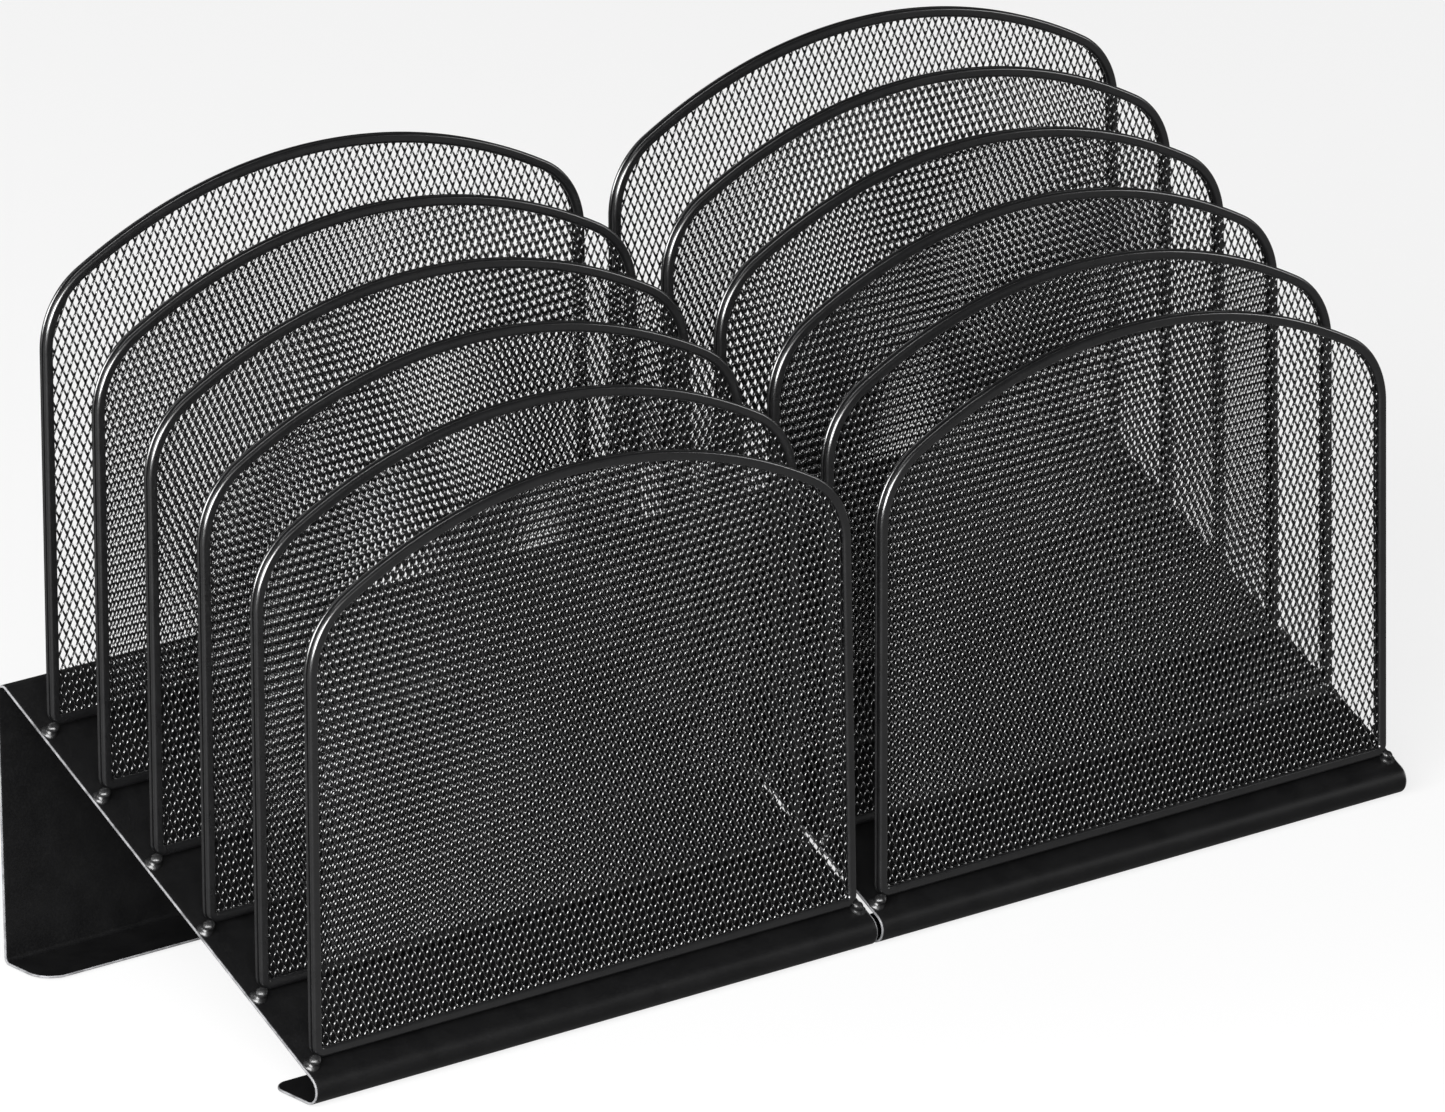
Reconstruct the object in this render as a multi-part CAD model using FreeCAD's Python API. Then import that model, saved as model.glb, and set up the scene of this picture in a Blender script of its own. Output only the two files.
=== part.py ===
import FreeCAD, Part
import math
import os

# ---------------------------------------------------------------------------
# Desktop file sorter: a pair of matching free-standing units, side by side.
# Axes: +X along the pair, +Y to the tall rear panel, +Z up.
# Origin: bottom centre of the pair, on the desk.
# All lengths in millimetres, all angles in degrees.
# ---------------------------------------------------------------------------

# --- the pair ---------------------------------------------------------------
UNIT_GAP = 2.5            # clear space between the two units
UNIT_NAMES = ("left", "right")

# --- bent sheet base --------------------------------------------------------
BASE_WIDTH = 300.0        # along X
SHEET = 1.0               # sheet thickness
DECK_ANGLE = 28.0         # slope of the deck, falling to the front
DECK_HEIGHT_AT_FIRST = 113.5   # top of the deck under the rearmost divider
TOP_BEND_R = 4.7          # outside radius, rear panel to deck
FRONT_ROLL_R = 6.8        # outside radius, deck to front foot flange
REAR_BEND_R = 3.0         # outside radius, rear panel to rear foot flange
REAR_FLANGE = 30.0        # depth of the rear foot flange
FRONT_FLANGE = 26.0       # depth of the front foot flange behind the roll centre
REAR_CORNER_R = 12.0      # plan corner radius of the rear flange
FRONT_CORNER_R = 8.0      # plan corner radius of the front flange

# --- dividers ---------------------------------------------------------------
DIVIDERS = 6
FIRST_FROM_REAR = 32.0    # first divider plane, measured from the rear panel
PITCH = 36.6              # spacing of the divider planes along Y
DIV_WIDTH = 290.0         # outside width at the bottom
DIV_HEIGHT = 230.0        # outside height at the crown
CROWN_R = 258.0           # radius of the shallow crown arc
SHOULDER_R = 38.0         # radius of the tighter shoulder arcs
SIDE_TAPER = 0.010        # the sides lean in by this much per millimetre
LOWER_CORNER_R = 5.5      # rounded lower corners
RIM_FACE = 4.4            # rim width seen from the front
RIM_DEPTH = 5.0           # rim thickness front to back
RIM_EDGE_R = 1.2          # soft outer edges of the rim
GROOVE_WALL = 1.2         # metal left outside the mesh groove
OUTER_GROOVE = 0.6        # depth and width of the fold line round the outside
MESH_T = 0.8              # thickness of the mesh panel
DIV_CLEAR = 0.7           # air between the rim and the deck, at the rear face

# --- weld feet and pads -----------------------------------------------------
FOOT_BASE_R = 3.6
FOOT_TOP_R = 1.7
FOOT_OUT = 0.8            # foot centre outboard of the rim side
PAD_R = 5.0
PAD_T = 1.2
PAD_X = 128.0
PAD_REAR_IN = 14.0        # pad centre from the rear panel
PAD_FRONT_IN = 12.0       # pad centre behind the roll centre

V = FreeCAD.Vector
SLOPE = math.tan(math.radians(DECK_ANGLE))
COS = math.cos(math.radians(DECK_ANGLE))
SIN = math.sin(math.radians(DECK_ANGLE))


def deck_z(y):
    """Height of the deck's top face at y, with the rear panel at y = 0."""
    return DECK_HEIGHT_AT_FIRST + SLOPE * (y + FIRST_FROM_REAR)


def roll_centre_y():
    """Y of the front roll centre: the roll touches the desk and the deck plane."""
    level = FRONT_ROLL_R * (1.0 + 1.0 / COS)
    return (level - DECK_HEIGHT_AT_FIRST) / SLOPE - FIRST_FROM_REAR


ROLL_Y = roll_centre_y()
DEPTH = FRONT_ROLL_R - ROLL_Y
SHIFT_Y = DEPTH / 2.0
SHIFT_Z = PAD_T


def strip(p, q, side, thick):
    """Flat face in the YZ plane: the straight p-q thickened towards side."""
    a = V(0, p[0], p[1])
    b = V(0, q[0], q[1])
    n = V(0, side[0], side[1]) * thick
    return Part.Face(Part.makePolygon([a, b, b + n, a + n, a]))


def bend(centre, outer_r, start_deg, end_deg, thick):
    """Annular sector in the YZ plane, angles measured from +Y towards +Z."""
    def at(r, deg):
        t = math.radians(deg)
        return V(0, centre[0] + r * math.cos(t), centre[1] + r * math.sin(t))
    mid = 0.5 * (start_deg + end_deg)
    inner_r = outer_r - thick
    arc_out = Part.Arc(at(outer_r, start_deg), at(outer_r, mid), at(outer_r, end_deg)).toShape()
    arc_in = Part.Arc(at(inner_r, end_deg), at(inner_r, mid), at(inner_r, start_deg)).toShape()
    side_a = Part.makeLine(at(outer_r, end_deg), at(inner_r, end_deg))
    side_b = Part.makeLine(at(inner_r, start_deg), at(outer_r, start_deg))
    return Part.Face(Part.Wire([arc_out, side_a, arc_in, side_b]))


def corner_cutter(x_edge, y_edge, r, x_in, y_in):
    """Post that rounds one plan corner of a foot flange near the desk."""
    box = Part.makeBox(r, r, 3.0)
    box.translate(V(min(x_edge, x_edge + x_in * r), min(y_edge, y_edge + y_in * r), -1.0))
    post = Part.makeCylinder(r, 3.0, V(x_edge + x_in * r, y_edge + y_in * r, -1.0))
    return box.cut(post)


def make_base():
    """One bent sheet: rear flange, rear panel, deck, front roll, front flange."""
    normal_deg = 90.0 + DECK_ANGLE
    top_c = (-TOP_BEND_R, deck_z(-TOP_BEND_R) - TOP_BEND_R / COS)
    roll_c = (ROLL_Y, FRONT_ROLL_R)
    rear_c = (-REAR_BEND_R, REAR_BEND_R)
    top_end = (top_c[0] - TOP_BEND_R * SIN, top_c[1] + TOP_BEND_R * COS)
    roll_start = (roll_c[0] - FRONT_ROLL_R * SIN, roll_c[1] + FRONT_ROLL_R * COS)
    faces = []
    faces.append(strip((-REAR_FLANGE, 0.0), (-REAR_BEND_R, 0.0), (0, 1), SHEET))
    faces.append(bend(rear_c, REAR_BEND_R, 270.0, 360.0, SHEET))
    faces.append(strip((0.0, REAR_BEND_R), (0.0, top_c[1]), (-1, 0), SHEET))
    faces.append(bend(top_c, TOP_BEND_R, 0.0, normal_deg, SHEET))
    faces.append(strip(top_end, roll_start, (SIN, -COS), SHEET))
    faces.append(bend(roll_c, FRONT_ROLL_R, normal_deg, 270.0, SHEET))
    faces.append(strip((ROLL_Y, 0.0), (ROLL_Y + FRONT_FLANGE, 0.0), (0, 1), SHEET))
    solids = []
    for face in faces:
        face.translate(V(-BASE_WIDTH / 2.0, 0, 0))
        solids.append(face.extrude(V(BASE_WIDTH, 0, 0)))
    base = solids[0].multiFuse(solids[1:]).removeSplitter()
    half = BASE_WIDTH / 2.0
    for sx in (-1, 1):
        base = base.cut(corner_cutter(sx * half, -REAR_FLANGE, REAR_CORNER_R, -sx, 1))
        base = base.cut(corner_cutter(sx * half, ROLL_Y + FRONT_FLANGE, FRONT_CORNER_R, -sx, -1))
    return base.Solids[0]


def outline(inset):
    """Closed divider outline in the XZ plane, pulled in by inset all round."""
    lean = math.sqrt(1.0 + SIDE_TAPER ** 2)
    half = DIV_WIDTH / 2.0 - inset * lean
    crown_r = CROWN_R - inset
    shoulder_r = SHOULDER_R - inset
    corner_r = max(LOWER_CORNER_R - inset, 1.5)
    crown_z = DIV_HEIGHT - CROWN_R
    k = half - shoulder_r * lean
    reach = crown_r - shoulder_r
    a = 1.0 + SIDE_TAPER ** 2
    b = -2.0 * (SIDE_TAPER * k + crown_z)
    c = k * k + crown_z * crown_z - reach * reach
    cz = (-b + math.sqrt(b * b - 4.0 * a * c)) / (2.0 * a)
    cx = k - SIDE_TAPER * cz
    side_n = (1.0 / lean, SIDE_TAPER / lean)
    scale = crown_r / reach
    bottom = inset

    def side_x(z):
        return half - SIDE_TAPER * z

    crown_end = (cx * scale, crown_z + (cz - crown_z) * scale)
    side_top = (cx + shoulder_r * side_n[0], cz + shoulder_r * side_n[1])
    mid_deg = 0.5 * (math.atan2(crown_end[1] - cz, crown_end[0] - cx)
                     + math.atan2(side_n[1], side_n[0]))
    shoulder_mid = (cx + shoulder_r * math.cos(mid_deg), cz + shoulder_r * math.sin(mid_deg))
    side_low = (side_x(bottom + corner_r), bottom + corner_r)
    corner_end = (side_low[0] - corner_r, bottom)
    corner_mid = (side_low[0] - corner_r * (1.0 - math.cos(math.pi / 4.0)),
                  bottom + corner_r * (1.0 - math.sin(math.pi / 4.0)))

    def pt(p, sx=1.0):
        return V(sx * p[0], 0, p[1])

    edges = [
        Part.makeLine(pt(corner_end, -1), pt(corner_end)),
        Part.Arc(pt(corner_end), pt(corner_mid), pt(side_low)).toShape(),
        Part.makeLine(pt(side_low), pt(side_top)),
        Part.Arc(pt(side_top), pt(shoulder_mid), pt(crown_end)).toShape(),
        Part.Arc(pt(crown_end), V(0, 0, DIV_HEIGHT - inset), pt(crown_end, -1)).toShape(),
        Part.Arc(pt(crown_end, -1), pt(shoulder_mid, -1), pt(side_top, -1)).toShape(),
        Part.makeLine(pt(side_top, -1), pt(side_low, -1)),
        Part.Arc(pt(side_low, -1), pt(corner_mid, -1), pt(corner_end, -1)).toShape(),
    ]
    return Part.Wire(edges)


def slab(inset, depth):
    """The outline as a flat plate of the given depth, centred on y = 0."""
    face = Part.Face(outline(inset))
    plate = face.extrude(V(0, depth, 0))
    plate.translate(V(0, -depth / 2.0, 0))
    return plate


def make_rim():
    """Rolled channel round the whole divider, with a groove for the mesh."""
    body = slab(0.0, RIM_DEPTH)
    soft = [e for e in body.Edges
            if abs(abs(e.BoundBox.YMin) - RIM_DEPTH / 2.0) < 1e-4 and e.BoundBox.YLength < 1e-4]
    body = body.makeFillet(RIM_EDGE_R, soft)
    window = slab(RIM_FACE, RIM_DEPTH + 2.0)
    groove = slab(GROOVE_WALL, MESH_T)
    fold = slab(-1.0, OUTER_GROOVE).cut(slab(OUTER_GROOVE, OUTER_GROOVE))
    return body.cut(window).cut(groove).cut(fold).Solids[0]


def make_mesh_panel():
    """Thin sheet that fills the groove: stands for the expanded-metal mesh."""
    return slab(GROOVE_WALL, MESH_T).Solids[0]


def under_deck():
    """Everything below the deck's top face, for trimming the weld feet."""
    length = 400.0
    block = Part.makeBox(length, length, 60.0, V(-length / 2.0, -length / 2.0, -60.0))
    block.rotate(V(0, 0, 0), V(1, 0, 0), DECK_ANGLE)
    return block


def make_feet(rim, y, z):
    """Two short flared legs that carry the lower corners of one divider."""
    trim = under_deck()
    trim.translate(V(0, y, deck_z(y)))
    placed_rim = rim.copy()
    placed_rim.translate(V(0, y, z))
    feet = []
    for sx in (-1, 1):
        low = V(sx * (DIV_WIDTH / 2.0 + FOOT_OUT), y - 1.2, deck_z(y - 1.2) - 1.6)
        high = V(sx * (DIV_WIDTH / 2.0 - 3.4), y - 0.2, z + 3.4)
        axis = high - low
        leg = Part.makeCone(FOOT_BASE_R, FOOT_TOP_R, axis.Length, low, axis)
        leg = leg.cut(trim).cut(placed_rim)
        leg = max(leg.Solids, key=lambda s: s.Volume)
        feet.append(leg)
    return Part.makeCompound(feet)


def make_pads():
    """Four thin non-slip discs under the foot flanges."""
    pads = []
    for sx in (-1, 1):
        for y in (-PAD_REAR_IN, ROLL_Y + PAD_FRONT_IN):
            pads.append(Part.makeCylinder(PAD_R, PAD_T, V(sx * PAD_X, y, -PAD_T)))
    return Part.makeCompound(pads)


def place(shape, unit_x):
    """Move a shape from the unit's own axes to the shared frame."""
    moved = shape.copy()
    moved.translate(V(unit_x, SHIFT_Y, SHIFT_Z))
    return moved


def build_unit(name, unit_x):
    """All the parts of one unit, written as one STEP file per node."""
    rim = make_rim()
    panel = make_mesh_panel()
    nodes = {name + "_base": make_base(), name + "_pads": make_pads()}
    for i in range(DIVIDERS):
        y = -FIRST_FROM_REAR - i * PITCH
        z = deck_z(y + RIM_DEPTH / 2.0) + DIV_CLEAR
        tag = str(i + 1)
        one_rim = rim.copy()
        one_rim.translate(V(0, y, z))
        one_panel = panel.copy()
        one_panel.translate(V(0, y, z))
        nodes[name + "_rim_" + tag] = one_rim
        nodes[name + "_mesh_" + tag] = one_panel
        nodes[name + "_feet_" + tag] = make_feet(rim, y, z)
    for node in sorted(nodes):
        place(nodes[node], unit_x).exportStep("parts/" + node + ".step")
    return len(nodes)


os.makedirs("parts", exist_ok=True)
half_step = (BASE_WIDTH + UNIT_GAP) / 2.0
total = 0
total += build_unit(UNIT_NAMES[0], -half_step)
total += build_unit(UNIT_NAMES[1], half_step)
print("nodes written:", total)
print("depth %.2f  shift %.2f  roll y %.2f" % (DEPTH, SHIFT_Y, ROLL_Y))
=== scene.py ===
# %% [markdown]
# # Desktop file sorter, a matching pair
# Two free-standing units stand side by side. Each is one bent steel sheet with a
# sloping deck, and six arched dividers stand on it, each one a step lower.
# A divider is a rolled steel rim that grips a panel of expanded metal.
# The CAD model gives every size and place. This script gives the pair its looks:
# the sheet, the rims, the panels and the welded feet are made again in finer detail,
# and the pads keep their CAD shape under a rubber material.

import math

import bmesh
import bpy
from mathutils import Matrix, Vector


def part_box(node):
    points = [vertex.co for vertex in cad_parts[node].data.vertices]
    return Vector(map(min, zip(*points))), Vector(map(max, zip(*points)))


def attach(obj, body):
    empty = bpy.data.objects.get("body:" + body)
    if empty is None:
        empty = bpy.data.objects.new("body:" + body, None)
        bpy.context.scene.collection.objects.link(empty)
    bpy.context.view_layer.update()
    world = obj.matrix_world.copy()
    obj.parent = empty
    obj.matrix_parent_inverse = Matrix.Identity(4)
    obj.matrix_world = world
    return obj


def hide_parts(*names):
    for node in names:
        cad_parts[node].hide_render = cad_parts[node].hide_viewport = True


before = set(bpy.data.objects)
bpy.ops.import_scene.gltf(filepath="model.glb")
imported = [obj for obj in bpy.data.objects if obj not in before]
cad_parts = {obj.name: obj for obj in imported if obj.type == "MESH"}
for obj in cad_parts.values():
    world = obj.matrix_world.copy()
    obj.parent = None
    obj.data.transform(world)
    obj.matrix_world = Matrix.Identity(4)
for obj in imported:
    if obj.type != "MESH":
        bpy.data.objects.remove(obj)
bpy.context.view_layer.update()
UNITS = ("left", "right")
COUNT = 6
MM = 0.001

# %% [markdown]
# ## Sizes
# These are the CAD model's sizes of one divider and of the bent sheet, in metres.
# The places of the parts come from the CAD boxes, so nothing is placed by eye.

# %% Sizes of the dividers and of the sheet
DIV_WIDTH = 290.0 * MM
DIV_HEIGHT = 230.0 * MM
CROWN_R = 258.0 * MM
SHOULDER_R = 38.0 * MM
SIDE_TAPER = 0.010
CORNER_R = 5.5 * MM
RIM_FACE = 4.4 * MM
RIM_DEPTH = 5.0 * MM
SHEET = 1.0 * MM
DECK_ANGLE = math.radians(28.0)

rim_place = {}
for unit in UNITS:
    for i in range(1, COUNT + 1):
        lo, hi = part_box(f"{unit}_rim_{i}")
        rim_place[(unit, i)] = Vector(((lo.x + hi.x) / 2, (lo.y + hi.y) / 2, lo.z))
print("rear left divider stands at", [round(v, 4) for v in rim_place[("left", 1)]])

# %% [markdown]
# ## Small helpers for node trees
# Every tree below is built in the script. One helper adds a node and wires its
# inputs: a plain value is typed into the socket, and another socket is linked to it.

# %% Helpers for node trees
def put(tree, kind, wires=None, **settings):
    """Add one node, set its properties, and type or link its inputs."""
    node = tree.nodes.new(kind)
    for name, value in settings.items():
        setattr(node, name, value)
    for name, value in (wires or {}).items():
        if isinstance(value, bpy.types.NodeSocket):
            tree.links.new(value, node.inputs[name])
        else:
            node.inputs[name].default_value = value
    return node


def math_of(tree, operation, a, b=0.0, c=0.0):
    """The result socket of one Math node."""
    return put(tree, "ShaderNodeMath", {0: a, 1: b, 2: c}, operation=operation).outputs[0]


def shape_tree(name, sizes):
    """A Geometry Nodes tree with a geometry input and one named input for each size."""
    tree = bpy.data.node_groups.new(name, "GeometryNodeTree")
    tree.interface.new_socket(name="Geometry", in_out="INPUT", socket_type="NodeSocketGeometry")
    for label, value in sizes.items():
        kind = "NodeSocketInt" if isinstance(value, int) else "NodeSocketFloat"
        socket = tree.interface.new_socket(name=label, in_out="INPUT", socket_type=kind)
        socket.default_value = value
    tree.interface.new_socket(name="Geometry", in_out="OUTPUT", socket_type="NodeSocketGeometry")
    return tree, tree.nodes.new("NodeGroupInput"), tree.nodes.new("NodeGroupOutput")


def grow(tree, seed_mesh, **values):
    """Run a tree on a mesh and return the result as a plain mesh."""
    holder = bpy.data.objects.new("holder", seed_mesh)
    bpy.context.scene.collection.objects.link(holder)
    modifier = holder.modifiers.new("shape", "NODES")
    modifier.node_group = tree
    for socket in tree.interface.items_tree:
        key = socket.name.lower().replace(" ", "_")
        if key in values:
            modifier[socket.identifier] = values[key]
    ready = holder.evaluated_get(bpy.context.evaluated_depsgraph_get())
    mesh = bpy.data.meshes.new_from_object(ready)
    holder.modifiers.remove(modifier)
    bpy.data.objects.remove(holder)
    return mesh


def stand(name, mesh, unit, nodes, place=None):
    """Make a finished piece: its place goes into its mesh, and it rides with its unit."""
    if place is not None:
        mesh.transform(Matrix.Translation(place))
    mesh.name = name
    piece = bpy.data.objects.new(name, mesh)
    bpy.context.scene.collection.objects.link(piece)
    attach(piece, f"{unit}_unit")
    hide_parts(*nodes)
    return piece


# %% [markdown]
# ## Shared shading groups
# Powder coat and enamel look alike from afar, yet each has a fine skin.
# The coat group mixes a broad cloudy tone with a fine speckle, and gives a colour,
# a roughness and a height. Each material calls it with its own values.
# The wear group turns the stored "edge" value and some noise into a mask that lightens cut edges
# to grey.
# This is partly thin paint and partly a painted highlight where an edge catches the light.

# %% Coat group, and wear group with a painted edge highlight
def coat_group():
    """Cloudy tone, speckle and orange peel of a sprayed coat."""
    g = bpy.data.node_groups.new("sprayed_coat", "ShaderNodeTree")
    for label, kind in (("Where", "NodeSocketVector"), ("Dark", "NodeSocketColor"),
                        ("Light", "NodeSocketColor"), ("Rough Low", "NodeSocketFloat"),
                        ("Rough High", "NodeSocketFloat"), ("Cloud Size", "NodeSocketFloat"),
                        ("Peel Size", "NodeSocketFloat")):
        g.interface.new_socket(name=label, in_out="INPUT", socket_type=kind)
    for label, kind in (("Color", "NodeSocketColor"), ("Roughness", "NodeSocketFloat"),
                        ("Height", "NodeSocketFloat")):
        g.interface.new_socket(name=label, in_out="OUTPUT", socket_type=kind)
    i = g.nodes.new("NodeGroupInput").outputs
    o = g.nodes.new("NodeGroupOutput").inputs
    cloud_scale = math_of(g, "DIVIDE", 1.0, i["Cloud Size"])
    peel_scale = math_of(g, "DIVIDE", 1.0, i["Peel Size"])
    cloud = put(g, "ShaderNodeTexNoise",
                {"Vector": i["Where"], "Scale": cloud_scale, "Detail": 3.0, "Roughness": 0.6})
    peel = put(g, "ShaderNodeTexNoise",
               {"Vector": i["Where"], "Scale": peel_scale, "Detail": 2.0, "Roughness": 0.5})
    speck = put(g, "ShaderNodeTexVoronoi", {"Vector": i["Where"], "Scale": peel_scale})
    tone = math_of(g, "MULTIPLY_ADD", cloud.outputs[0], 0.7,
                   math_of(g, "MULTIPLY", speck.outputs[0], 0.4))
    mix = put(g, "ShaderNodeMix", {0: tone, 6: i["Dark"], 7: i["Light"]}, data_type="RGBA")
    rough = put(g, "ShaderNodeMapRange", {0: tone, 1: 0.2, 2: 0.8, 3: i["Rough Low"],
                                          4: i["Rough High"]})
    g.links.new(mix.outputs[2], o["Color"])
    g.links.new(rough.outputs[0], o["Roughness"])
    g.links.new(math_of(g, "MULTIPLY_ADD", speck.outputs[0], 0.5, peel.outputs[0]), o["Height"])
    return g


def wear_and_highlight_group():
    """Mask of thin paint and a painted highlight along edges, broken up by noise."""
    g = bpy.data.node_groups.new("edge_wear", "ShaderNodeTree")
    for label, kind in (("Where", "NodeSocketVector"), ("Edge", "NodeSocketFloat"),
                        ("Amount", "NodeSocketFloat"), ("Patch Size", "NodeSocketFloat")):
        g.interface.new_socket(name=label, in_out="INPUT", socket_type=kind)
    g.interface.new_socket(name="Mask", in_out="OUTPUT", socket_type="NodeSocketFloat")
    i = g.nodes.new("NodeGroupInput").outputs
    o = g.nodes.new("NodeGroupOutput").inputs
    scale = math_of(g, "DIVIDE", 1.0, i["Patch Size"])
    patch = put(g, "ShaderNodeTexNoise",
                {"Vector": i["Where"], "Scale": scale, "Detail": 4.0, "Roughness": 0.65})
    band = put(g, "ShaderNodeMapRange", {0: i["Edge"], 1: 0.75, 2: 1.0, 3: 0.0, 4: 1.0})
    broken = put(g, "ShaderNodeMapRange", {0: patch.outputs[0], 1: 0.3, 2: 0.6, 3: 0.35, 4: 1.0})
    wear_and_highlight_mask = math_of(g, "MULTIPLY", math_of(g, "MULTIPLY", band.outputs[0], broken.outputs[0]),
                   i["Amount"])
    g.links.new(wear_and_highlight_mask, o["Mask"])
    return g


COAT = coat_group()
WEAR_AND_HIGHLIGHT = wear_and_highlight_group()
print("shading groups", COAT.name, WEAR_AND_HIGHLIGHT.name)

# %% [markdown]
# ## Finishes
# The bent sheet has a satin black powder coat, the rims a glossier black enamel,
# and the mesh is dipped in the same black. Their differences are in roughness
# and in the size of the skin. The pads are dull dark rubber.

# %% One recipe for all finishes
COAT_ROUGHNESS = 0.2


def finish(name, dark, light, rough, cloud, peel, bump, wear_and_highlight=0.0, level=0.5, lacquer=0.0):
    """A Principled material fed by the coat group, with optional wear and a painted highlight
    along edges.
    """
    material = bpy.data.materials.new(name)
    material.use_nodes = True
    tree = material.node_tree
    tree.nodes.clear()
    where = put(tree, "ShaderNodeTexCoord").outputs["Object"]
    coat = put(tree, "ShaderNodeGroup", node_tree=COAT)
    for label, value in (("Dark", (*dark, 1)), ("Light", (*light, 1)), ("Rough Low", rough[0]),
                         ("Rough High", rough[1]), ("Cloud Size", cloud), ("Peel Size", peel)):
        coat.inputs[label].default_value = value
    tree.links.new(where, coat.inputs["Where"])
    colour = coat.outputs["Color"]
    roughness = coat.outputs["Roughness"]
    if wear_and_highlight > 0.0:
        edge = put(tree, "ShaderNodeAttribute", attribute_name="edge").outputs["Fac"]
        wear_and_highlight_mask = put(tree, "ShaderNodeGroup", node_tree=WEAR_AND_HIGHLIGHT)
        tree.links.new(where, wear_and_highlight_mask.inputs["Where"])
        tree.links.new(edge, wear_and_highlight_mask.inputs["Edge"])
        wear_and_highlight_mask.inputs["Amount"].default_value = wear_and_highlight
        wear_and_highlight_mask.inputs["Patch Size"].default_value = 6.0 * MM
        # Edges are mixed towards grey: partly thin paint, partly a painted highlight where an edge
        # catches the light.
        mixed = put(tree, "ShaderNodeMix", {0: wear_and_highlight_mask.outputs[0], 6: colour,
                                            7: (0.16, 0.16, 0.165, 1)}, data_type="RGBA")
        colour = mixed.outputs[2]
        roughness = math_of(tree, "MULTIPLY_ADD", wear_and_highlight_mask.outputs[0], -0.12, roughness)
    relief = put(tree, "ShaderNodeBump", {"Height": coat.outputs["Height"], "Strength": bump[0],
                                          "Distance": bump[1]})
    shader = put(tree, "ShaderNodeBsdfPrincipled",
                 {"Base Color": colour, "Roughness": roughness, "Normal": relief.outputs[0],
                  "Specular IOR Level": level, "Coat Weight": lacquer,
                  "Coat Roughness": COAT_ROUGHNESS})
    out = put(tree, "ShaderNodeOutputMaterial")
    tree.links.new(shader.outputs[0], out.inputs["Surface"])
    return material


# The sheet's cut edges get the grey edge mix, which is thin paint and a painted highlight.
satin_powder = finish("satin_powder", (0.0006, 0.0006, 0.0007), (0.002, 0.002, 0.0021),
                      (0.34, 0.50), 14 * MM, 0.9 * MM, (0.25, 0.05 * MM), wear_and_highlight=0.8, level=0.2)
rim_enamel = finish("rim_enamel", (0.001, 0.001, 0.0011), (0.003, 0.003, 0.0032),
                    (0.24, 0.36), 9 * MM, 0.7 * MM, (0.10, 0.03 * MM), level=0.2, lacquer=1.0)
mesh_enamel = finish("mesh_enamel", (0.001, 0.001, 0.0011), (0.003, 0.003, 0.0032),
                     (0.18, 0.30), 5 * MM, 0.35 * MM, (0.08, 0.02 * MM), level=0.8)
weld_enamel = finish("weld_enamel", (0.0015, 0.0015, 0.0016), (0.004, 0.004, 0.0042),
                     (0.26, 0.42), 4 * MM, 1.1 * MM, (0.55, 0.12 * MM), level=0.4)
dull_rubber = finish("dull_rubber", (0.010, 0.010, 0.010), (0.028, 0.028, 0.028),
                     (0.75, 0.92), 3 * MM, 0.5 * MM, (0.45, 0.06 * MM), level=0.3)
print("finishes", [m.name for m in (satin_powder, rim_enamel, mesh_enamel, weld_enamel,
                                    dull_rubber)])

# %% [markdown]
# ## The divider outline
# A divider has a flat bottom, two almost upright sides, tight shoulders and one
# shallow crown. It could be a Bezier curve, but arcs and straights computed from the
# radii keep it equal to the CAD model at any inset. The loop lies flat in X and Y,
# and each tree stands it upright at the end.

# %% Outline of one divider
def arc_points(cx, cy, r, start, end, count):
    """Points along an arc, ends included."""
    steps = [start + (end - start) * k / count for k in range(count + 1)]
    return [(cx + r * math.cos(t), cy + r * math.sin(t)) for t in steps]


def divider_loop(inset):
    """Closed loop of points, anticlockwise, pulled in by inset all round."""
    lean = math.sqrt(1.0 + SIDE_TAPER ** 2)
    half = DIV_WIDTH / 2 - inset * lean
    crown_r = CROWN_R - inset
    shoulder_r = SHOULDER_R - inset
    corner_r = max(CORNER_R - inset, 1.5 * MM)
    crown_y = DIV_HEIGHT - CROWN_R
    k = half - shoulder_r * lean
    reach = crown_r - shoulder_r
    b = -2.0 * (SIDE_TAPER * k + crown_y)
    c = k * k + crown_y ** 2 - reach ** 2
    cy = (-b + math.sqrt(b * b - 4.0 * lean ** 2 * c)) / (2.0 * lean ** 2)
    cx = k - SIDE_TAPER * cy
    side_angle = math.atan(SIDE_TAPER)
    crown_angle = math.atan2(cy - crown_y, cx)
    low_x = half - SIDE_TAPER * (inset + corner_r)
    points = [((low_x - corner_r) * s / 24, inset) for s in range(24)]
    points += arc_points(low_x - corner_r, inset + corner_r, corner_r, -math.pi / 2, 0.0, 10)
    shoulder = arc_points(cx, cy, shoulder_r, side_angle, crown_angle, 24)
    x0, y0 = points[-1]
    x1, y1 = shoulder[0]
    points += [(x0 + (x1 - x0) * s / 24, y0 + (y1 - y0) * s / 24) for s in range(1, 24)]
    points += shoulder
    points += arc_points(0.0, crown_y, crown_r, crown_angle, math.pi / 2, 40)[1:]
    return points + [(-x, y) for x, y in reversed(points[1:-1])]


def loop_mesh(inset):
    """The outline as a mesh of edges only, for a tree to follow."""
    points = divider_loop(inset)
    mesh = bpy.data.meshes.new("divider_path")
    count = len(points)
    mesh.from_pydata([(x, y, 0.0) for x, y in points],
                     [(k, (k + 1) % count) for k in range(count)], [])
    return mesh


print("outline points", len(divider_loop(0.0)))

# %% [markdown]
# ## Rims
# The rim is a steel strip rolled into a channel: a broad bead in front, a thinner
# bead behind it, and a fold line between them. A beveled curve would give one bead.
# The tree sweeps two rounded rectangles and a narrow core along the outline, so the
# fold line stays a real groove and every size stays an input.

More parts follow.
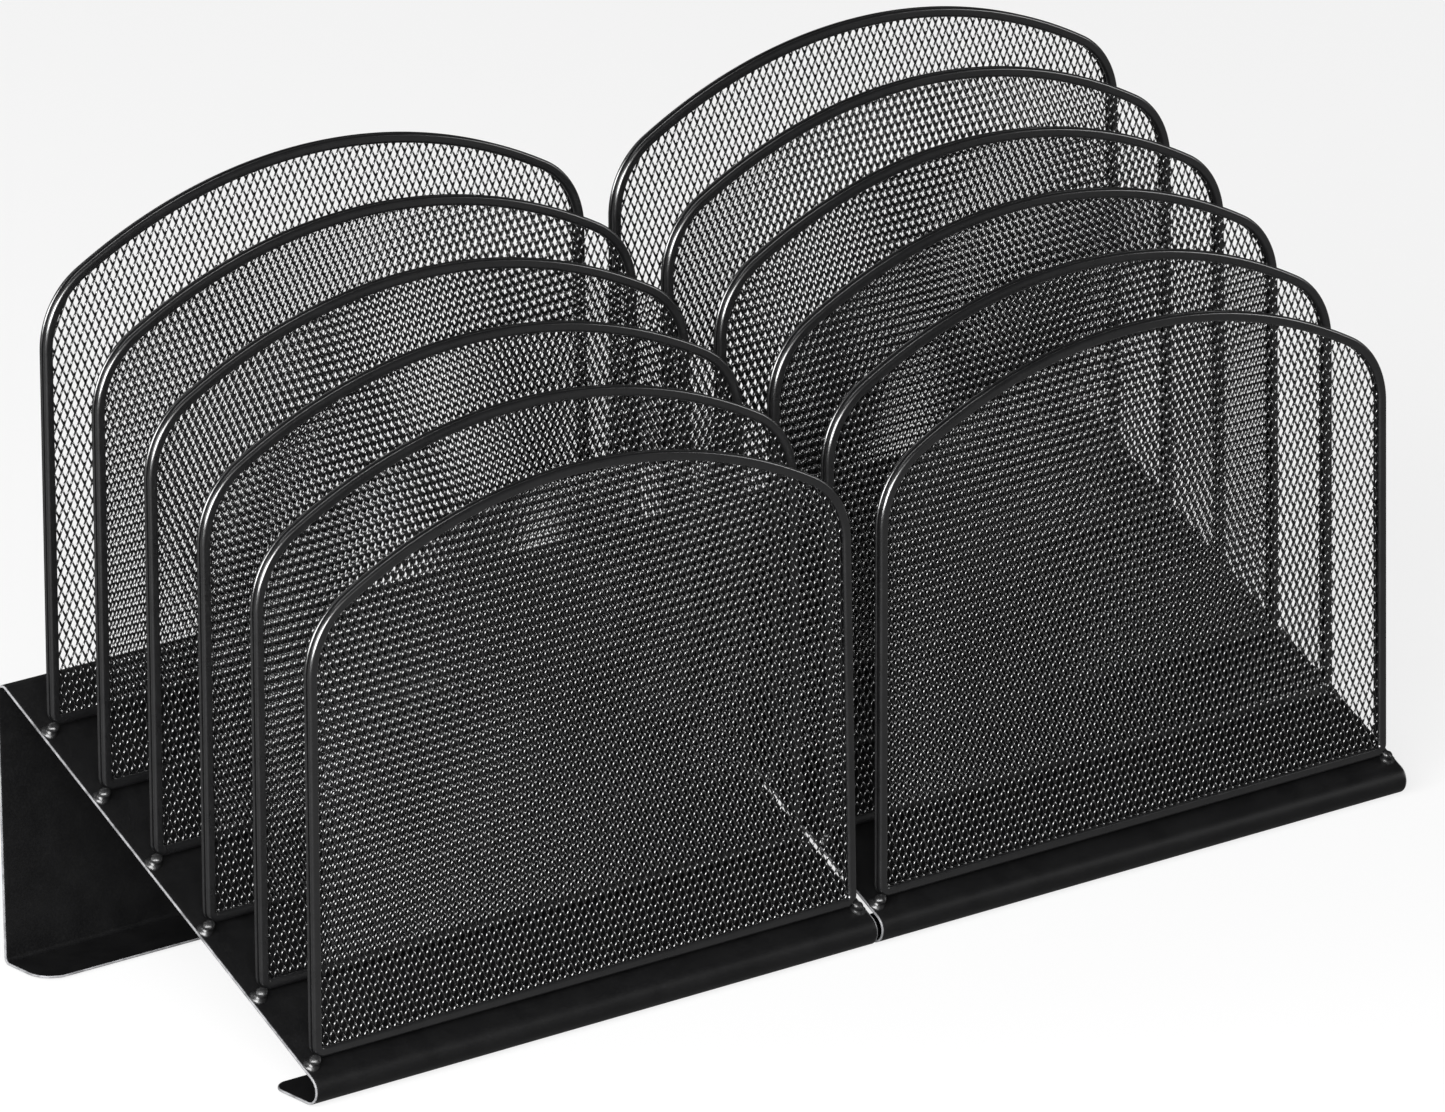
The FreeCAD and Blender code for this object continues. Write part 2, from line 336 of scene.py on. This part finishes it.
# %% Tree that sweeps the rim
def rim_tree():
    sizes = {"Face": RIM_FACE, "Front Depth": 2.6 * MM, "Rear Depth": 1.4 * MM,
             "Rear Inset": 0.2 * MM, "Depth": RIM_DEPTH, "Round": 1.28 * MM}
    tree, gin, gout = shape_tree("rolled_rim", sizes)
    i = gin.outputs
    path = put(tree, "GeometryNodeMeshToCurve", {"Mesh": i["Geometry"]}).outputs[0]
    half = math_of(tree, "MULTIPLY", i["Depth"], 0.5)
    beads = []
    for name, sign in (("Front Depth", -1.0), ("Rear Depth", 1.0)):
        width = i["Face"]
        radius = i["Round"]
        if sign > 0:
            width = math_of(tree, "MULTIPLY_ADD", i["Rear Inset"], -2.0, i["Face"])
            radius = math_of(tree, "MULTIPLY", i[name], 0.45)
        shape = put(tree, "GeometryNodeCurvePrimitiveQuadrilateral",
                    {"Width": width, "Height": i[name]}).outputs[0]
        soft = put(tree, "GeometryNodeFilletCurve", {"Curve": shape, "Radius": radius, "Count": 8},
                   mode="POLY").outputs[0]
        middle = math_of(tree, "MULTIPLY_ADD", i[name], -0.5, half)
        shift = put(tree, "ShaderNodeCombineXYZ", {1: math_of(tree, "MULTIPLY", middle, sign)})
        moved = put(tree, "GeometryNodeTransform",
                    {"Geometry": soft, "Translation": shift.outputs[0]}).outputs[0]
        bead = put(tree, "GeometryNodeCurveToMesh", {"Curve": path, "Profile Curve": moved})
        beads.append(bead.outputs[0])
    core = put(tree, "GeometryNodeCurvePrimitiveQuadrilateral",
               {"Width": math_of(tree, "MULTIPLY", i["Face"], 0.52),
                "Height": math_of(tree, "MULTIPLY", i["Depth"], 0.7)}).outputs[0]
    beads.append(put(tree, "GeometryNodeCurveToMesh",
                     {"Curve": path, "Profile Curve": core}).outputs[0])
    both = put(tree, "GeometryNodeJoinGeometry")
    for bead in beads:
        tree.links.new(bead, both.inputs[0])
    upright = put(tree, "GeometryNodeTransform",
                  {"Geometry": both.outputs[0], "Rotation": (math.pi / 2, 0, 0)}).outputs[0]
    smooth = put(tree, "GeometryNodeSetShadeSmooth", {"Geometry": upright}).outputs[0]
    real = put(tree, "GeometryNodeRealizeInstances", {"Geometry": smooth}).outputs[0]
    painted = put(tree, "GeometryNodeSetMaterial", {"Geometry": real, "Material": rim_enamel})
    tree.links.new(painted.outputs[0], gout.inputs[0])
    return tree


rim_mesh = grow(rim_tree(), loop_mesh(RIM_FACE / 2))
spans = [max(v.co[a] for v in rim_mesh.vertices) - min(v.co[a] for v in rim_mesh.vertices)
         for a in range(3)]
print("rim spans", [round(s * 1000, 2) for s in spans], "faces", len(rim_mesh.polygons))

# %% Stand the rims
for (unit, i), place in rim_place.items():
    stand(f"{unit}_rim_{i}_rolled", rim_mesh.copy(), unit, [f"{unit}_rim_{i}"], place)
print("rims", len(rim_place))

# %% [markdown]
# ## Expanded metal panels
# The panel is expanded metal: a sheet is slit and stretched until the slits open
# into diamonds. The strands between them twist, so those that climb to the right
# face up to the light, and those that climb to the left face down and stay dark.
# An alpha pattern would be cheaper, but it has no thickness and no twist.
# The tree lays a lattice of strand centres, drops those outside the rim,
# sets one small tapered bar on each, and pulls loose ends back into the rim's channel.
# The bars are shaded smooth, so that each catches a small point of light.

# %% Tree that lays the strands
CELL_WIDTH = 3.9 * MM
CELL_HEIGHT = 8.1 * MM


def expanded_tree():
    sizes = {"Cell Width": CELL_WIDTH, "Cell Height": CELL_HEIGHT, "Strand Width": 0.80 * MM,
             "Strand Depth": 0.46 * MM, "Twist": math.radians(-32), "Shift X": 0.0,
             "Shift Y": 0.0, "Sag": 0.35 * MM, "Seed": 1.0}
    tree, gin, gout = shape_tree("expanded_metal", sizes)
    i = gin.outputs
    columns, rows = 80, 62
    edge_curve = put(tree, "GeometryNodeMeshToCurve", {"Mesh": i["Geometry"]}).outputs[0]
    inside = put(tree, "GeometryNodeFillCurve", {"Curve": edge_curve}).outputs[0]
    row_step = math_of(tree, "MULTIPLY", i["Cell Height"], 0.5)
    size_x = math_of(tree, "MULTIPLY", i["Cell Width"], columns - 1)
    size_y = math_of(tree, "MULTIPLY", row_step, rows - 1)
    lattice = put(tree, "GeometryNodeMeshGrid", {"Size X": size_x, "Size Y": size_y,
                                                 "Vertices X": columns, "Vertices Y": rows})
    where = put(tree, "ShaderNodeSeparateXYZ",
                {0: put(tree, "GeometryNodeInputPosition").outputs[0]})
    row = math_of(tree, "ROUND", math_of(tree, "DIVIDE", where.outputs[1], row_step))
    odd = math_of(tree, "FLOORED_MODULO", row, 2.0)
    step_x = math_of(tree, "MULTIPLY", odd, math_of(tree, "MULTIPLY", i["Cell Width"], 0.5))
    offset = put(tree, "ShaderNodeCombineXYZ",
                 {0: math_of(tree, "ADD", step_x, i["Shift X"]),
                  1: math_of(tree, "ADD", i["Shift Y"], DIV_HEIGHT / 2)}).outputs[0]
    joints = put(tree, "GeometryNodeSetPosition",
                 {"Geometry": lattice.outputs[0], "Offset": offset}).outputs[0]
    quarter_x = math_of(tree, "MULTIPLY", i["Cell Width"], 0.25)
    quarter_y = math_of(tree, "MULTIPLY", i["Cell Height"], 0.25)
    length = math_of(tree, "MULTIPLY", 2.0, math_of(
        tree, "SQRT", math_of(tree, "ADD", math_of(tree, "POWER", quarter_x, 2.0),
                              math_of(tree, "POWER", quarter_y, 2.0))))
    slope = math_of(tree, "ARCTAN2", quarter_y, quarter_x)

    def ray_misses():
        """True where a point lies outside the filled outline."""
        spot = put(tree, "GeometryNodeInputPosition").outputs[0]
        above = put(tree, "ShaderNodeVectorMath", {0: spot, 1: (0, 0, 1)}).outputs[0]
        ray = put(tree, "GeometryNodeRaycast",
                  {"Target Geometry": inside, "Source Position": above,
                   "Ray Direction": (0, 0, -1), "Ray Length": 3.0})
        return put(tree, "FunctionNodeBooleanMath", {0: ray.outputs["Is Hit"]},
                   operation="NOT").outputs[0]

    strands = []
    for side in (1.0, -1.0):
        bar_size = put(tree, "ShaderNodeCombineXYZ",
                       {0: math_of(tree, "MULTIPLY_ADD", i["Strand Width"], 0.40, length),
                        1: i["Strand Width"], 2: i["Strand Depth"]})
        bar = put(tree, "GeometryNodeMeshCube", {"Size": bar_size.outputs[0]}).outputs[0]
        spot = put(tree, "ShaderNodeSeparateXYZ",
                   {0: put(tree, "GeometryNodeInputPosition").outputs[0]}).outputs
        swell = math_of(tree, "MULTIPLY_ADD", math_of(tree, "DIVIDE", spot[0], length), -0.30, 1.0)
        taper = put(tree, "ShaderNodeCombineXYZ",
                    {0: spot[0], 1: math_of(tree, "MULTIPLY", spot[1], swell), 2: spot[2]})
        bar = put(tree, "GeometryNodeSetPosition",
                  {"Geometry": bar, "Position": taper.outputs[0]}).outputs[0]
        angle = slope if side > 0 else math_of(tree, "SUBTRACT", math.pi, slope)
        turn = put(tree, "ShaderNodeCombineXYZ", {0: i["Twist"], 2: angle})
        bar = put(tree, "GeometryNodeTransform",
                  {"Geometry": bar, "Rotation": turn.outputs[0]}).outputs[0]
        step = put(tree, "ShaderNodeCombineXYZ",
                   {0: math_of(tree, "MULTIPLY", quarter_x, side), 1: quarter_y})
        middles = put(tree, "GeometryNodeSetPosition",
                      {"Geometry": joints, "Offset": step.outputs[0]}).outputs[0]
        kept = put(tree, "GeometryNodeDeleteGeometry",
                   {"Geometry": middles, "Selection": ray_misses()}, domain="POINT").outputs[0]
        laid = put(tree, "GeometryNodeInstanceOnPoints", {"Points": kept, "Instance": bar})
        strands.append(laid.outputs[0])
    both = put(tree, "GeometryNodeJoinGeometry")
    for laid in strands:
        tree.links.new(laid, both.inputs[0])
    real = put(tree, "GeometryNodeRealizeInstances", {"Geometry": both.outputs[0]}).outputs[0]
    near = put(tree, "GeometryNodeProximity", {0: i["Geometry"]}, target_element="EDGES").outputs
    here = put(tree, "ShaderNodeSeparateXYZ",
               {0: put(tree, "GeometryNodeInputPosition").outputs[0]}).outputs
    rim_spot = put(tree, "ShaderNodeSeparateXYZ", {0: near["Position"]}).outputs
    pulled = put(tree, "ShaderNodeCombineXYZ", {0: rim_spot[0], 1: rim_spot[1], 2: here[2]})
    tucked = put(tree, "GeometryNodeSetPosition",
                 {"Geometry": real, "Selection": ray_misses(),
                  "Position": pulled.outputs[0]}).outputs[0]
    wave = put(tree, "ShaderNodeTexNoise", {"Scale": 14.0, "Detail": 1.0, "W": i["Seed"]},
               noise_dimensions="4D").outputs[0]
    sag = math_of(tree, "MULTIPLY", math_of(tree, "MULTIPLY_ADD", wave, 2.0, -1.0), i["Sag"])
    waved = put(tree, "GeometryNodeSetPosition",
                {"Geometry": tucked,
                 "Offset": put(tree, "ShaderNodeCombineXYZ", {2: sag}).outputs[0]}).outputs[0]
    upright = put(tree, "GeometryNodeTransform",
                  {"Geometry": waved, "Rotation": (math.pi / 2, 0, 0)}).outputs[0]
    smooth = put(tree, "GeometryNodeSetShadeSmooth",
                 {"Geometry": upright, "Shade Smooth": True}).outputs[0]
    painted = put(tree, "GeometryNodeSetMaterial", {"Geometry": smooth, "Material": mesh_enamel})
    tree.links.new(painted.outputs[0], gout.inputs[0])
    return tree


panel_tree = expanded_tree()
panel_loop = loop_mesh(1.6 * MM)
print("panel tree nodes", len(panel_tree.nodes))

# %% [markdown]
# Real panels are cut from one long roll, so no two start at the same point of the
# pattern. Each panel gets its own shift and its own slight sag, which also gives the
# moving shimmer where one panel is seen through another.

# %% Lay and stand the panels
faces = 0
for unit_number, unit in enumerate(UNITS):
    for i in range(1, COUNT + 1):
        roll = unit_number * COUNT + i
        panel = grow(panel_tree, panel_loop.copy(), shift_x=((roll * 0.37) % 1.0) * CELL_WIDTH,
                     shift_y=((roll * 0.61) % 1.0) * CELL_HEIGHT / 2, seed=float(roll))
        faces = len(panel.polygons)
        stand(f"{unit}_mesh_{i}_expanded", panel, unit, [f"{unit}_mesh_{i}"],
              rim_place[(unit, i)])
print("faces in one panel", faces)

# %% [markdown]
# ## The bent sheet
# One sheet makes the rear foot, the rear panel, the sloping deck, the front roll and
# the front foot. It could be cut from the CAD mesh, but a cut edge needs a small
# rounded lip to catch the light. So the sheet is walked station by station along its
# bends, and at each station a thin section with soft edges is laid across it.

# %% Stations along the sheet
TOP_BEND_R = 4.7 * MM
FRONT_ROLL_R = 6.8 * MM
REAR_BEND_R = 3.0 * MM
REAR_FLANGE = 30.0 * MM
FRONT_FLANGE = 26.0 * MM
REAR_CORNER_R = 12.0 * MM
FRONT_CORNER_R = 8.0 * MM
HALF_WIDTH = 150.0 * MM
LIP = 0.22 * MM


def flange_half(d, r):
    """Half width at distance d from the end of a flange with corner radius r."""
    if d >= r:
        return HALF_WIDTH
    return HALF_WIDTH - r + math.sqrt(r * r - (r - d) ** 2)


def sheet_stations(height, depth):
    """(y, z, outward y, outward z, half width, half thickness) along the middle of the sheet."""
    slope, co, si = math.tan(DECK_ANGLE), math.cos(DECK_ANGLE), math.sin(DECK_ANGLE)
    t = SHEET / 2
    top = (-TOP_BEND_R, height - TOP_BEND_R)
    roll = (FRONT_ROLL_R - depth, FRONT_ROLL_R)
    marks = []
    for k in range(0, 9):
        d = REAR_CORNER_R * (1 - math.cos(math.pi / 2 * k / 8))
        marks.append((-REAR_FLANGE + d, t, 0, -1, flange_half(d, REAR_CORNER_R), t))
    marks.append((-REAR_BEND_R, t, 0, -1, HALF_WIDTH, t))
    normal_end = math.pi / 2 + DECK_ANGLE
    bends = (((-REAR_BEND_R, REAR_BEND_R), REAR_BEND_R, -math.pi / 2, 0.0, 8),
             (top, TOP_BEND_R, 0.0, normal_end, 14),
             (roll, FRONT_ROLL_R, normal_end, math.pi * 1.5, 22))
    for centre, radius, start, end, count in bends:
        for k in range(count + 1):
            a = start + (end - start) * k / count
            marks.append((centre[0] + (radius - t) * math.cos(a),
                          centre[1] + (radius - t) * math.sin(a),
                          math.cos(a), math.sin(a), HALF_WIDTH, t))
    for k in range(8, -1, -1):
        d = FRONT_CORNER_R * (1 - math.cos(math.pi / 2 * k / 8))
        marks.append((roll[0] + FRONT_FLANGE - d, t, 0, -1, flange_half(d, FRONT_CORNER_R), t))
    for end in (0, -1):
        y, z, ny, nz, half, thick = marks[end]
        out = -LIP if end == 0 else LIP
        marks[end] = (y - out, z, ny, nz, half, thick)
        tip = (y, z, ny, nz, half - LIP, thick - LIP)
        marks.insert(0, tip) if end == 0 else marks.append(tip)
    return marks


# %% Walk the stations and close the skin
def sheet_mesh(unit):
    lo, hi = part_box(f"{unit}_base")
    centre_x = (lo.x + hi.x) / 2
    marks = sheet_stations(hi.z - lo.z, hi.y - lo.y)
    built = bmesh.new()
    # The "edge" value marks cut edges, where the finish paints thin paint and a highlight.
    layer = built.verts.layers.float.new("edge")
    loops = []
    for y, z, ny, nz, half, thick in marks:
        lip = min(LIP, thick * 0.9)
        inner = 2.2 * MM
        ring = ((-half + inner, thick, 0), (half - inner, thick, 0), (half - lip, thick, 1),
                (half - lip * 0.3, thick - lip * 0.3, 1), (half, thick - lip, 1),
                (half, lip - thick, 1), (half - lip * 0.3, lip * 0.3 - thick, 1),
                (half - lip, -thick, 1), (half - inner, -thick, 0), (-half + inner, -thick, 0),
                (-half + lip, -thick, 1), (-half + lip * 0.3, lip * 0.3 - thick, 1),
                (-half, lip - thick, 1), (-half, thick - lip, 1),
                (-half + lip * 0.3, thick - lip * 0.3, 1), (-half + lip, thick, 1))
        loop = []
        for x, h, edge in ring:
            vert = built.verts.new((centre_x + x, hi.y + y + h * ny, lo.z + z + h * nz))
            vert[layer] = edge
            loop.append(vert)
        loops.append(loop)
    for end in (loops[0], loops[1], loops[-1], loops[-2]):
        for vert in end:
            vert[layer] = 1.0
    size = len(loops[0])
    for a, b in zip(loops, loops[1:]):
        for k in range(size):
            built.faces.new((a[k], a[(k + 1) % size], b[(k + 1) % size], b[k]))
    built.faces.new(loops[0])
    built.faces.new(list(reversed(loops[-1])))
    bmesh.ops.recalc_face_normals(built, faces=built.faces)
    for face in built.faces:
        face.smooth = True
    mesh = bpy.data.meshes.new(f"{unit}_sheet")
    built.to_mesh(mesh)
    built.free()
    mesh.set_sharp_from_angle(angle=math.radians(50))
    mesh.materials.append(satin_powder)
    return mesh


for unit in UNITS:
    sheet = stand(f"{unit}_bent_sheet", sheet_mesh(unit), unit, [f"{unit}_base"])
    lo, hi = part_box(f"{unit}_base")
    low = min(v.co.z for v in sheet.data.vertices) - lo.z
    top = max(v.co.z for v in sheet.data.vertices) - hi.z
    print(unit, "sheet against CAD, mm", round(low * 1000, 3), round(top * 1000, 3))

# %% [markdown]
# ## Weld feet
# Each lower corner of a divider is welded to the deck by a small blob of weld.
# A cone would look machined. The blob is lathed from a soft profile that swells at
# the bottom, and its rings are pushed about a little.

# %% Lathe one welded foot
def foot_mesh(node, side):
    """A lumpy blob of weld between the deck and the divider's corner."""
    lo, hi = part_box(node)
    x_mid = lo.x + 2.6 * MM if side < 0 else hi.x - 2.6 * MM
    y_mid = (lo.y + hi.y) / 2 + 0.6 * MM
    deck = Vector((0, -math.sin(DECK_ANGLE), math.cos(DECK_ANGLE)))
    slide = Vector((0, math.cos(DECK_ANGLE), math.sin(DECK_ANGLE)))
    start = Vector((x_mid, y_mid, (lo.z + hi.z) / 2 - 2.6 * MM))
    end = start + deck * 5.6 * MM + Vector((-side * 2.2 * MM, 0, 0))
    cross = Vector((1, 0, 0))
    profile = ((0.0, 0.2), (0.0, 3.5), (0.12, 3.7), (0.24, 3.4), (0.34, 2.7), (0.46, 2.35),
               (0.58, 2.5), (0.70, 2.6), (0.82, 2.2), (0.92, 1.5), (1.0, 0.2))
    built = bmesh.new()
    rings = []
    count = 24
    for along, radius in profile:
        ring = []
        for k in range(count):
            a = 2 * math.pi * k / count
            lump = 1.0 + 0.05 * math.sin(3 * a + 9 * along) + 0.035 * math.sin(5 * a - 14 * along)
            spoke = cross * math.cos(a) + slide * math.sin(a)
            point = start.lerp(end, along) + spoke * radius * lump * MM
            ring.append(built.verts.new(point))
        rings.append(ring)
    for a, b in zip(rings, rings[1:]):
        for k in range(count):
            built.faces.new((a[k], a[(k + 1) % count], b[(k + 1) % count], b[k]))
    built.faces.new(rings[0])
    built.faces.new(rings[-1])
    bmesh.ops.recalc_face_normals(built, faces=built.faces)
    for face in built.faces:
        face.smooth = True
    return built


for unit in UNITS:
    for i in range(1, COUNT + 1):
        joined = bpy.data.meshes.new(f"{unit}_feet_{i}_mesh")
        whole = bmesh.new()
        for side in (-1, 1):
            part = foot_mesh(f"{unit}_feet_{i}", side)
            scratch = bpy.data.meshes.new("scratch")
            part.to_mesh(scratch)
            part.free()
            whole.from_mesh(scratch)
            bpy.data.meshes.remove(scratch)
        whole.to_mesh(joined)
        whole.free()
        joined.materials.append(weld_enamel)
        stand(f"{unit}_feet_{i}_welded", joined, unit, [f"{unit}_feet_{i}"])
print("welded feet", 2 * COUNT * len(UNITS))

# %% [markdown]
# ## Pads
# The pads are thin discs that are mostly hidden, so their CAD shape is enough.

# %% Finish the pads
for unit in UNITS:
    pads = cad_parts[f"{unit}_pads"]
    pads.data.materials.clear()
    pads.data.materials.append(dull_rubber)
print("pads finished")

# %% [markdown]
# ## Floor, light and camera
# The pair stands on a plain white sweep that gives off a little light itself,
# as a lit table does, so shadows stay faint. Large soft boxes stand at the upper
# left and near the camera. The sky above stays dim, so that black paint stays black.

# %% Floor and surroundings
floor_mesh = bpy.data.meshes.new("white_floor")
reach = 40.0
floor_mesh.from_pydata([(-reach, -reach, 0), (reach, -reach, 0), (reach, reach, 0),
                        (-reach, reach, 0)], [], [(0, 1, 2, 3)])
floor = bpy.data.objects.new("white_floor", floor_mesh)
bpy.context.scene.collection.objects.link(floor)
white = bpy.data.materials.new("white_sweep")
white.use_nodes = True
white.node_tree.nodes.clear()
matt = put(white.node_tree, "ShaderNodeBsdfPrincipled",
           {"Base Color": (0.08, 0.08, 0.08, 1), "Roughness": 0.9, "Specular IOR Level": 0.0,
            "Emission Color": (1, 1, 1, 1)})
direct = put(white.node_tree, "ShaderNodeLightPath").outputs["Is Camera Ray"]
white.node_tree.links.new(math_of(white.node_tree, "MULTIPLY_ADD", direct, 0.72, 0.08),
                          matt.inputs["Emission Strength"])
white_out = put(white.node_tree, "ShaderNodeOutputMaterial")
white.node_tree.links.new(matt.outputs[0], white_out.inputs["Surface"])
floor_mesh.materials.append(white)

world = bpy.data.worlds.new("dim_room")
bpy.context.scene.world = world
world.use_nodes = True
sky = world.node_tree
sky.nodes.clear()
seen = put(sky, "ShaderNodeLightPath").outputs["Is Camera Ray"]
tone = put(sky, "ShaderNodeMix", {0: seen, 6: (0.05, 0.05, 0.05, 1), 7: (1, 1, 1, 1)},
           data_type="RGBA")
glow = put(sky, "ShaderNodeBackground", {"Color": tone.outputs[2]})
sky_out = put(sky, "ShaderNodeOutputWorld")
sky.links.new(glow.outputs[0], sky_out.inputs["Surface"])


# %% Soft boxes
def soft_box(name, place, target, width, height, radiance):
    """An area light that faces a target; its power follows from its brightness."""
    light = bpy.data.lights.new(name, "AREA")
    light.shape = "RECTANGLE"
    light.size = width
    light.size_y = height
    light.energy = radiance * math.pi * width * height
    lamp = bpy.data.objects.new(name, light)
    bpy.context.scene.collection.objects.link(lamp)
    lamp.location = place
    lamp.rotation_euler = (Vector(target) - Vector(place)).to_track_quat("-Z", "Y").to_euler()
    return lamp


soft_box("big_panel_left", (-2.6, -1.9, 1.45), (0, 0, 0.15), 3.6, 1.8, 36.0)
soft_box("panel_front", (-0.4, -3.6, 1.4), (0, 0, 0.15), 2.0, 1.3, 3.0)
soft_box("panel_rear_left", (-2.9, 1.5, 1.6), (0, 0, 0.15), 1.6, 1.6, 6.0)
soft_box("strip_behind", (-0.3, 1.5, 2.4), (0, 0, 0.2), 2.2, 0.35, 6.0)
soft_box("low_right", (2.6, -1.6, 0.9), (0, 0, 0.15), 0.6, 1.2, 8.0)

# %% Camera
YAW, PITCH, ROLL = math.radians(38.19), math.radians(18.49), math.radians(-0.6)
forward = Vector((math.sin(YAW) * math.cos(PITCH), math.cos(YAW) * math.cos(PITCH),
                  -math.sin(PITCH)))
right = Vector((math.cos(YAW), -math.sin(YAW), 0.0))
up = right.cross(forward)
rolled_right = right * math.cos(ROLL) + up * math.sin(ROLL)
rolled_up = up * math.cos(ROLL) - right * math.sin(ROLL)
camera_data = bpy.data.cameras.new("camera")
camera_data.sensor_width = 36.0
camera_data.lens = 299.0
camera_data.clip_end = 200.0
camera = bpy.data.objects.new("camera", camera_data)
bpy.context.scene.collection.objects.link(camera)
turn = Matrix((rolled_right, rolled_up, -forward)).transposed()
camera.matrix_world = Matrix.Translation((-3.0422, -3.8729, 1.7963)) @ turn.to_4x4()
bpy.context.scene.camera = camera
bpy.context.scene.view_settings.view_transform = "Standard"
print("camera at", [round(v, 3) for v in camera.location])
